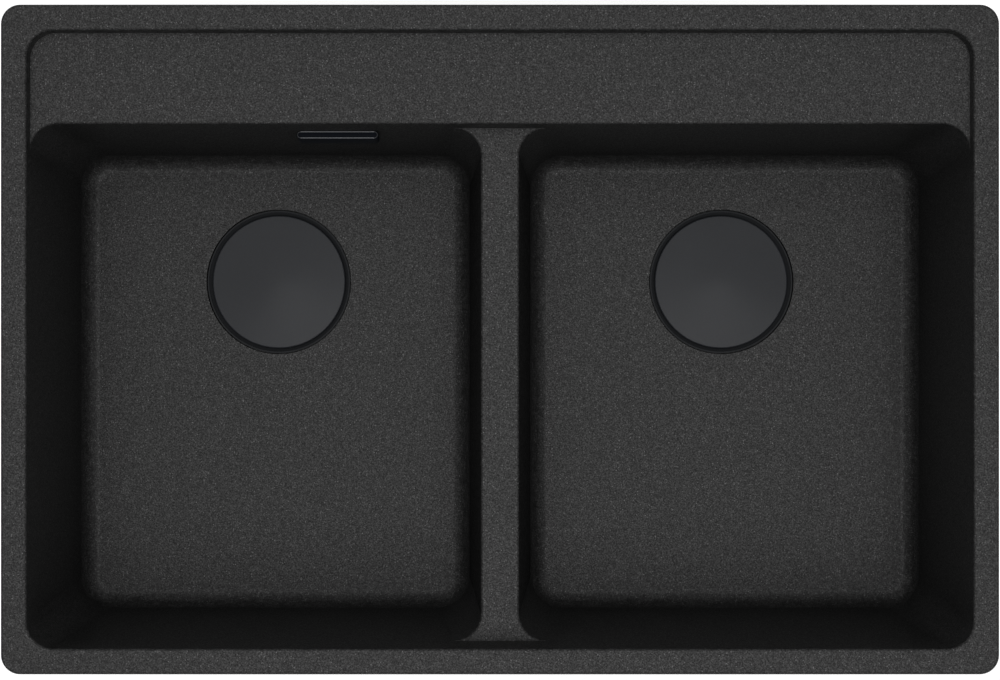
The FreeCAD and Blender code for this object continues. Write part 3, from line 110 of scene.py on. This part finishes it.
# Patterns: unstretched, turned off the axes (in radians), and where nearly all noise lies.
EVEN = (1, 1, 1)
OFF_AXIS = (0.5, 0.7, 0.3)
NOISE_RANGE = (0.3, 0.7)

# Studio. The sky and the paper have one level as light and one that is seen.
WHITE = (1, 1, 1)
SKY_LIGHT = 0.6
SKY_SEEN = 1.0
PAPER = (0.8, 0.8, 0.8)
PAPER_LIFT = 0.42
PAPER_REACH = 6000
PAPER_CELLS = 8
CAMERA_RISE = 2088
CAMERA_Y = -0.4
CAMERA_LENS = 96.9
CAMERA_SENSOR = 36
CAMERA_NEAR = 50

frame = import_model()
cad_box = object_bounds()
SLOT_OF = {part["node"]: part["material_slot"] for part in frame["record"]["subparts"]}
BODIES = frame["record"]["behaviour"]["bodies"]
BODY_OF = {node: body for body, nodes in BODIES.items() for node in nodes}


# ---------------------------------------------------------------- nodes

def feed(tree, socket, value):
    """Links a socket to another node's socket, or sets it; a colour is given as a triple."""
    if isinstance(value, bpy.types.NodeSocket):
        tree.links.new(value, socket)
    elif socket.type == "RGBA":
        socket.default_value = (*value, 1)
    else:
        socket.default_value = value


def add_node(tree, kind, inputs=None, **settings):
    """A new node; inputs maps a socket's name or number to what feeds it."""
    made = tree.nodes.new(kind)
    for name, value in settings.items():
        setattr(made, name, value)
    for name, value in (inputs or {}).items():
        feed(tree, made.inputs[name], value)
    return made


# ---------------------------------------------------------------- materials

class Look:
    """A procedural material on a Principled shader, in the coordinates of the object."""

    def __init__(self, name, colour, roughness, metallic=0.0, specular=0.5):
        self.material = bpy.data.materials.new(name)
        self.material.use_nodes = True
        self.tree = self.material.node_tree
        self.shader = self.tree.nodes["Principled BSDF"]
        self.colour = colour
        self.set("Base Color", colour)
        self.set("Roughness", roughness)
        self.set("Metallic", metallic)
        self.set("Specular IOR Level", specular)

    def set(self, name, value):
        feed(self.tree, self.shader.inputs[name], value)

    def add(self, kind, inputs=None, **settings):
        return add_node(self.tree, kind, inputs, **settings)

    def place(self, stretch=EVEN):
        """Where a pattern is read; an even one is turned, so that it follows no edge."""
        where = self.add("ShaderNodeTexCoord").outputs["Object"]
        turn = OFF_AXIS if stretch == EVEN else (0, 0, 0)
        inputs = {"Vector": where, "Rotation": turn, "Scale": stretch}
        return self.add("ShaderNodeMapping", inputs).outputs["Vector"]

    def noise(self, size, detail=2.0, roughness=0.5, stretch=EVEN):
        """Noise whose features are about size millimetres across."""
        inputs = {
            "Vector": self.place(stretch),
            "Scale": 1 / (size * MM),
            "Detail": detail,
            "Roughness": roughness,
        }
        return self.add("ShaderNodeTexNoise", inputs).outputs["Fac"]

    def cells(self, size, output="Distance"):
        """Cells about size millimetres across: the distance to their points, or their colours."""
        inputs = {"Vector": self.place(), "Scale": 1 / (size * MM)}
        return self.add("ShaderNodeTexVoronoi", inputs).outputs[output]

    def remap(self, value, given, wanted):
        """A value from one range to another, held at its ends."""
        inputs = {
            "Value": value,
            "From Min": given[0],
            "From Max": given[1],
            "To Min": wanted[0],
            "To Max": wanted[1],
        }
        return self.add("ShaderNodeMapRange", inputs).outputs["Result"]

    def spread(self, noise, low, high):
        """Noise from its usual range to another."""
        return self.remap(noise, NOISE_RANGE, (low, high))

    def reckon(self, operation, first, second):
        inputs = {0: first, 1: second}
        return self.add("ShaderNodeMath", inputs, operation=operation).outputs["Value"]

    def mix(self, amount, first, second):
        """Colour between two colours."""
        made = self.add("ShaderNodeMix", data_type="RGBA")
        for name, value in (("Factor", amount), ("A", first), ("B", second)):
            socket = next(s for s in made.inputs if s.name == name and s.enabled)
            feed(self.tree, socket, value)
        return next(s for s in made.outputs if s.name == "Result" and s.enabled)

    def shade(self, factor):
        """The material's own colour, lighter or darker."""
        return tuple(min(1.0, c * factor) for c in self.colour)

    def matt_at_grazing(self, specular, grain):
        """Sheen that varies with the grain and fades where the surface is seen edge on.

        Facing is 0 where a surface is seen straight on and 1 where it is seen edge on.
        """
        facing = self.add("ShaderNodeLayerWeight", {"Blend": 0.5}).outputs["Facing"]
        level = self.remap(facing, (0.6, 0.93), (specular, 0.0))
        self.set("Specular IOR Level", self.reckon("MULTIPLY", level, grain))

    def bump(self, height, depth, strength):
        """Relief of depth millimetres."""
        inputs = {"Height": height, "Distance": depth * MM, "Strength": strength}
        self.set("Normal", self.add("ShaderNodeBump", inputs).outputs["Normal"])


def stone():
    """Cast composite: a dark matrix of fine grains with sparse pale flecks, silk matt."""
    look = Look("stone", (0.018, 0.018, 0.018), 0.38, specular=0.12)
    grains = look.noise(1.15, detail=3, roughness=0.65)
    uneven = look.reckon("POWER", look.spread(grains, 0.0, 1.0), 1.5)
    matrix = look.mix(uneven, look.shade(0.25), look.shade(2.6))
    clumps = look.remap(look.noise(4), (0.35, 0.65), (0.0, 0.6))
    matrix = look.mix(clumps, matrix, look.shade(0.3))
    mottle = look.spread(look.noise(38, detail=3, roughness=0.6), 0.0, 0.16)
    matrix = look.mix(mottle, matrix, look.shade(0.7))
    # A fleck is the middle of a cell, and about one cell in ten has one.
    cell_size = 1.4
    cell = look.add("ShaderNodeSeparateColor", {"Color": look.cells(cell_size, "Color")})
    chosen = look.remap(cell.outputs["Red"], (0.84, 0.94), (0.0, 1.0))
    middle = look.remap(look.cells(cell_size), (0.16, 0.36), (1.0, 0.0))
    fleck = look.reckon("MULTIPLY", chosen, middle)
    pale = look.reckon("MULTIPLY", fleck, 0.8)
    look.set("Base Color", look.mix(pale, matrix, (0.08, 0.08, 0.08)))
    look.set("Roughness", look.spread(grains, 0.46, 0.31))
    glint = look.reckon("MULTIPLY", fleck, 2.2)
    sheen = look.reckon("ADD", look.remap(uneven, (0.0, 1.0), (0.62, 1.58)), glint)
    look.matt_at_grazing(0.12, sheen)
    look.bump(look.noise(1.4, detail=3, roughness=0.6), depth=0.14, strength=0.8)
    return look.material


def satin_cover():
    """Lacquered pressed steel, very finely grained."""
    look = Look("satin_cover", (0.0178, 0.0191, 0.0219), 0.24, specular=0.077)
    cloud = look.spread(look.noise(30), 0.0, 1.0)
    tone = look.mix(cloud, look.shade(0.95), look.shade(1.05))
    speck = look.remap(look.noise(1.1, roughness=0.6), (0.35, 0.7), (0.0, 0.35))
    look.set("Base Color", look.mix(speck, tone, look.shade(1.5)))
    grain = look.noise(0.35)
    look.set("Roughness", look.spread(grain, 0.21, 0.27))
    look.bump(grain, depth=0.01, strength=0.4)
    return look.material


def satin_dark(name, colour, specular):
    """Satin dark plastic of the overflow, and lacquer of the flange, dull where water stands;
    lighter copies of it are painted highlights on the hood's bead.
    """
    look = Look(name, colour, 0.36, specular=specular)
    grain = look.noise(0.5, detail=3, roughness=0.6)
    tone = look.mix(look.spread(grain, 0.0, 1.0), look.shade(0.85), look.shade(1.2))
    look.set("Base Color", tone)
    look.set("Roughness", look.spread(grain, 0.32, 0.42))
    look.bump(grain, depth=0.012, strength=0.5)
    return look.material


def metal(name, colour, roughness, size, stretch=EVEN, depth=0.01):
    """Bare metal with a grain; a drawn or brushed one is stretched along one direction."""
    look = Look(name, colour, roughness, metallic=1.0)
    brushed = look.noise(size, detail=4, roughness=0.65, stretch=stretch)
    tone = look.mix(look.spread(brushed, 0.0, 1.0), look.shade(0.86), look.shade(1.06))
    cloud = look.remap(look.noise(18), (0.35, 0.75), (0.0, 0.25))
    look.set("Base Color", look.mix(cloud, tone, look.shade(0.72)))
    worn = look.remap(brushed, (0.25, 0.75), (roughness * 0.75, roughness * 1.3))
    look.set("Roughness", worn)
    look.bump(brushed, depth, strength=0.6)
    return look.material


def moulded(name, colour, roughness, size, depth, clouding=0.06):
    """Moulded plastic, rubber or foam: faint clouding and a fine matt grain."""
    look = Look(name, colour, roughness)
    cloud = look.spread(look.noise(22, detail=3), 0.0, 1.0)
    tone = look.mix(cloud, look.shade(1 - clouding), look.shade(1 + clouding))
    grain = look.noise(size, detail=3, roughness=0.6)
    hollows = look.remap(grain, (0.35, 0.75), (0.0, 0.3))
    look.set("Base Color", look.mix(hollows, tone, look.shade(0.8)))
    look.set("Roughness", look.spread(grain, roughness * 0.85, roughness * 1.15))
    look.bump(grain, depth, strength=0.6)
    return look.material


# One look for each material slot, and three that differ from their slot's: two of these, lighter
# copies of the hood's dark plastic, are painted highlights on its bead.
LOOKS = {
    "granite": stone(),
    "cover_satin": satin_cover(),
    "overflow_dark": satin_dark("overflow_dark", (0.0022, 0.0032, 0.0055), specular=0.03),
    # Painted highlight: the straight lines of the hood's bead are a pale copy of its dark
    # plastic, also glossier.
    "overflow_line_painted_highlight": satin_dark("overflow_line_painted_highlight", (0.155, 0.158, 0.165), specular=0.5),
    # Painted highlight, dimmer: the end arcs of the hood's bead are a lighter copy of its dark
    # plastic.
    "overflow_ends_painted_highlight": satin_dark("overflow_ends_painted_highlight", (0.04, 0.041, 0.043), specular=0.2),
    "flange_dark": satin_dark("flange_dark", (0.019, 0.020, 0.0215), specular=0.02),
    "steel": metal("steel", (0.60, 0.60, 0.59), 0.28, size=2.5, stretch=(1, 1, 14)),
    "zinc_steel": metal("zinc_steel", (0.50, 0.52, 0.55), 0.40, size=1.2, depth=0.02),
    "brass": metal("brass", (0.72, 0.52, 0.22), 0.33, size=1.5, stretch=(1, 1, 6)),
    "rubber": moulded("rubber", (0.020, 0.020, 0.021), 0.72, size=0.6, depth=0.03),
    "foam": moulded("foam", (0.045, 0.045, 0.047), 0.92, size=0.5, depth=0.12, clouding=0.12),
    "pipe_white": moulded(
        "pipe_white", (0.72, 0.72, 0.70), 0.42, size=0.7, depth=0.012, clouding=0.02
    ),
    "nut_grey": moulded(
        "nut_grey", (0.20, 0.205, 0.21), 0.46, size=0.6, depth=0.015, clouding=0.04
    ),
}


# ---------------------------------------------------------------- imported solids

def shading_group():
    """Smooth shading that stays crisp across real edges."""
    group = bpy.data.node_groups.new("smooth_by_angle", "GeometryNodeTree")
    for way in ("INPUT", "OUTPUT"):
        group.interface.new_socket("Geometry", in_out=way, socket_type="NodeSocketGeometry")
    inputs = {"Geometry": add_node(group, "NodeGroupInput").outputs[0], "Distance": MERGE_METRES}
    merged = add_node(group, "GeometryNodeMergeByDistance", inputs).outputs["Geometry"]
    smooth_faces = add_node(group, "GeometryNodeSetShadeSmooth", {"Geometry": merged})
    angle = add_node(group, "GeometryNodeInputMeshEdgeAngle").outputs["Unsigned Angle"]
    inputs = {"A": angle, "B": math.radians(CRISP_ANGLE)}
    crisp = add_node(group, "FunctionNodeCompare", inputs, operation="GREATER_THAN")
    inputs = {
        "Geometry": smooth_faces.outputs["Geometry"],
        "Selection": crisp.outputs["Result"],
        "Shade Smooth": False,
    }
    shaded = add_node(group, "GeometryNodeSetShadeSmooth", inputs, domain="EDGE")
    add_node(group, "NodeGroupOutput", {0: shaded.outputs["Geometry"]})
    return group


SHADING = shading_group()


def smooth(item):
    item.modifiers.new("smooth_by_angle", "NODES").node_group = SHADING
    weights = item.modifiers.new("weighted_normals", "WEIGHTED_NORMAL")
    weights.keep_sharp = True
    weights.weight = STRONG_FACES


def wear(item, look):
    item.data.materials.clear()
    item.data.materials.append(LOOKS[look])


for name, item in frame["nodes"].items():
    wear(item, "flange_dark" if name.endswith("waste_flange") else SLOT_OF[name])
    smooth(item)


# ---------------------------------------------------------------- finer pieces

def show(name, data):
    item = bpy.data.objects.new(name, data)
    bpy.context.scene.collection.objects.link(item)
    return item


def mesh_of(name, shape):
    mesh = bpy.data.meshes.new(name)
    shape.to_mesh(mesh)
    shape.free()
    return mesh


def place_piece(name, shape, node, where, look=None):
    """Puts a finer piece in the place of its CAD node, with that node's body and slot."""
    bmesh.ops.recalc_face_normals(shape, faces=shape.faces)
    mesh = mesh_of(name, shape)
    mesh.transform(where)
    item = show(name, mesh)
    wear(item, look or SLOT_OF[node])
    smooth(item)
    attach(item, BODY_OF[node])
    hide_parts(node)


def soften(points, radii):
    """An outline in a plane with rounded corners; radii maps a point's index to its radius."""
    out = []
    count = len(points)
    for i, here in enumerate(points):
        if i not in radii:
            out.append(here)
            continue
        radius = radii[i]
        corner = Vector(here)
        before = (Vector(points[i - 1]) - corner).normalized()
        after = (Vector(points[(i + 1) % count]) - corner).normalized()
        half = before.angle(after) / 2
        reach = radius / math.tan(half)
        centre = corner + (before + after).normalized() * (radius / math.sin(half))
        start = corner + before * reach - centre
        end = corner + after * reach - centre
        for step in range(CORNER_STEPS + 1):
            # slerp gives a direction of length 1
            out.append(tuple(centre + start.slerp(end, step / CORNER_STEPS) * radius))
    return out


def lathe(profile, segments):
    """A turned shape; its profile starts and ends on the axis."""
    shape = bmesh.new()
    rings = []
    for radius, level in profile:
        reach = radius * MM
        turns = [2 * math.pi * step / segments for step in range(segments if radius else 1)]
        places = [(reach * math.cos(turn), reach * math.sin(turn), level * MM) for turn in turns]
        rings.append([shape.verts.new(place) for place in places])
    for lower, upper in zip(rings, rings[1:]):
        for step in range(segments):
            after = (step + 1) % segments
            if len(lower) == 1:
                shape.faces.new((lower[0], upper[after], upper[step]))
            elif len(upper) == 1:
                shape.faces.new((lower[step], lower[after], upper[0]))
            else:
                shape.faces.new((lower[step], lower[after], upper[after], upper[step]))
    return shape


def drain_cover(side, x):
    """A disc with a skirt round its edge, and a top that falls outwards as a blunt cone."""
    outline = [
        (0, COVER_UNDERSIDE),
        (COVER_INNER, COVER_UNDERSIDE),
        (COVER_INNER, COVER_FOOT),
        (COVER_RADIUS, COVER_FOOT),
        (COVER_RADIUS, COVER_TOP - COVER_FALL),
        (0, COVER_TOP),
    ]
    *rounded, tip = soften(outline, COVER_CORNERS)
    slope = COVER_FALL / (COVER_RADIUS - COVER_BLUNT)
    crown = [
        (radius, COVER_TOP - slope * (math.hypot(radius, COVER_BLUNT) - COVER_BLUNT))
        for radius in COVER_CROWN
    ]
    shape = lathe([*rounded, *crown, tip], COVER_SEGMENTS)
    where = Matrix.Translation(Vector((x, DRAIN_Y, BOWL_FLOOR)) * MM)
    place_piece(f"{side}_cover_disc", shape, f"{side}_drain_cover", where)


def hood_outline(inset):
    """Points round the hood, seen from above: two straight sides and two half circles."""
    middle = HOOD_DEPTH / 2
    half = HOOD_WIDTH / 2 - middle
    radius = middle - inset
    points = []
    for side in (1, -1):
        for step in range(HOOD_TURNS + 1):
            turn = math.radians(-90 + 180 * step / HOOD_TURNS)
            x = half + radius * math.cos(turn)
            points.append((side * x, middle + side * radius * math.sin(turn)))
    return points


def loft(shape, rings, spans=None):
    """Skin over outlines of as many points each, given with their levels.

    It is a closed solid, or where spans are given, open strips over those sides of the outline.
    """
    made = [
        [shape.verts.new((x * MM, y * MM, level * MM)) for x, y in outline]
        for outline, level in rings
    ]
    for lower, upper in zip(made, made[1:]):
        for i in spans or range(len(lower)):
            after = (i + 1) % len(lower)
            shape.faces.new((lower[i], lower[after], upper[after], upper[i]))
    if spans:
        loose = [vert for vert in shape.verts if not vert.link_faces]
        bmesh.ops.delete(shape, geom=loose, context="VERTS")
    else:
        shape.faces.new(made[0][::-1])
        shape.faces.new(made[-1])


def arc(first, last):
    """Cosine and sine along an arc."""
    turns = [math.radians(turn) for turn in range(first, last + 1, ARC_STEP)]
    return [(math.cos(turn), math.sin(turn)) for turn in turns]


def hood():
    """A cap with a soft edge on a wall open at the back and below, and a fine bead round it,
    lighter than the cap as a painted highlight.
    """
    where = Matrix.Translation(Vector(HOOD_AT) * MM)
    where = where @ Matrix.Rotation(math.radians(-HOOD_LEAN), 4, "X")
    where = where @ Matrix.Rotation(math.pi, 4, "Z")

    inner = HOOD_WIDTH / 2 - HOOD_SIDE
    front = HOOD_DEPTH - HOOD_FRONT
    wall = [(inner, front), (inner, 0), *hood_outline(0)[1:-1], (-inner, 0), (-inner, front)]
    cap_base = HOOD_HALF_HEIGHT - HOOD_CAP
    soft = HOOD_SOFT_EDGE
    cap = [(hood_outline(0), cap_base)]
    for cosine, sine in arc(0, 90):
        cap.append((hood_outline(soft - soft * cosine), HOOD_HALF_HEIGHT - soft + soft * sine))
    shape = bmesh.new()
    loft(shape, [(wall, -HOOD_HALF_HEIGHT), (wall, cap_base + HOOD_OVERLAP)])
    loft(shape, cap)
    place_piece("hood_cap", shape, "overflow_hood", where)

    bead = []
    for cosine, sine in arc(-ARC_STEP, 180 + ARC_STEP):
        outline = hood_outline(BEAD_INSET - BEAD_HALF_WIDTH * cosine)
        bead.append((outline, HOOD_HALF_HEIGHT + BEAD_HEIGHT * sine))
    straight = [HOOD_TURNS, 2 * HOOD_TURNS + 1]
    bent = [i for i in range(2 * HOOD_TURNS + 2) if i not in straight]
    # Both parts of the bead carry painted highlights: bright on the straight lines, dimmer on the
    # end arcs.
    for name, spans, look in (
        ("hood_lines", straight, "overflow_line_painted_highlight"),
        ("hood_ends", bent, "overflow_ends_painted_highlight"),
    ):
        shape = bmesh.new()
        loft(shape, bead, spans)
        place_piece(name, shape, "overflow_hood", where, look)


drain_cover("left", -DRAIN_X)
drain_cover("right", DRAIN_X)
hood()


# ---------------------------------------------------------------- floor, light and camera

def seen_white(tree, dim, bright):
    """Mixes two shaders: the bright one is what the camera, reflections and clear pieces see."""
    rays = add_node(tree, "ShaderNodeLightPath").outputs
    seen = rays["Is Camera Ray"]
    for kind in ("Is Glossy Ray", "Is Transmission Ray"):
        inputs = {0: seen, 1: rays[kind]}
        seen = add_node(tree, "ShaderNodeMath", inputs, operation="MAXIMUM").outputs[0]
    return add_node(tree, "ShaderNodeMixShader", {"Fac": seen, 1: dim, 2: bright}).outputs[0]


def world():
    """An even white sky."""
    made = bpy.data.worlds.new("studio")
    made.use_nodes = True
    tree = made.node_tree
    tree.nodes.clear()
    levels = []
    for strength in (SKY_LIGHT, SKY_SEEN):
        inputs = {"Color": WHITE, "Strength": strength}
        levels.append(add_node(tree, "ShaderNodeBackground", inputs).outputs[0])
    add_node(tree, "ShaderNodeOutputWorld", {"Surface": seen_white(tree, *levels)})
    bpy.context.scene.world = made


def paper():
    """Pale paper that is clear from below, so that the underside can be looked at."""
    material = bpy.data.materials.new("floor_paper")
    material.use_nodes = True
    tree = material.node_tree
    tree.nodes.clear()
    plain = add_node(tree, "ShaderNodeBsdfDiffuse", {"Color": PAPER}).outputs[0]
    lift = add_node(tree, "ShaderNodeEmission", {"Strength": PAPER_LIFT}).outputs[0]
    lifted = add_node(tree, "ShaderNodeAddShader", {0: plain, 1: lift}).outputs[0]
    inputs = {
        "Fac": add_node(tree, "ShaderNodeNewGeometry").outputs["Backfacing"],
        1: seen_white(tree, plain, lifted),
        2: add_node(tree, "ShaderNodeBsdfTransparent").outputs[0],
    }
    one_sided = add_node(tree, "ShaderNodeMixShader", inputs).outputs[0]
    add_node(tree, "ShaderNodeOutputMaterial", {"Surface": one_sided})
    return material


def floor(level):
    shape = bmesh.new()
    cells = {"x_segments": PAPER_CELLS, "y_segments": PAPER_CELLS}
    bmesh.ops.create_grid(shape, size=PAPER_REACH * MM, **cells)
    item = show("studio_floor", mesh_of("studio_floor", shape))
    item.location.z = level
    item.data.materials.append(paper())


def lamp(name, strength, spread, tilt, turn):
    """A soft sun; tilt is from straight down."""
    light = bpy.data.lights.new(name, "SUN")
    light.energy = strength
    light.angle = math.radians(spread)
    show(name, light).rotation_euler = (math.radians(tilt), 0, math.radians(turn))


def camera():
    """Straight above, at the height and lens that the photograph's perspective fits."""
    data = bpy.data.cameras.new("camera")
    data.sensor_width = CAMERA_SENSOR
    data.lens = CAMERA_LENS
    data.clip_start = CAMERA_NEAR * MM
    item = show("camera", data)
    item.location = (0, CAMERA_Y * MM, (RIM_TOP + CAMERA_RISE) * MM)
    bpy.context.scene.camera = item


world()
floor(cad_box[0].z)
lamp("overhead", strength=0.77, spread=36, tilt=7, turn=197)
lamp("key", strength=0.72, spread=28, tilt=14, turn=14)
camera()
bpy.context.scene.view_settings.view_transform = "Standard"
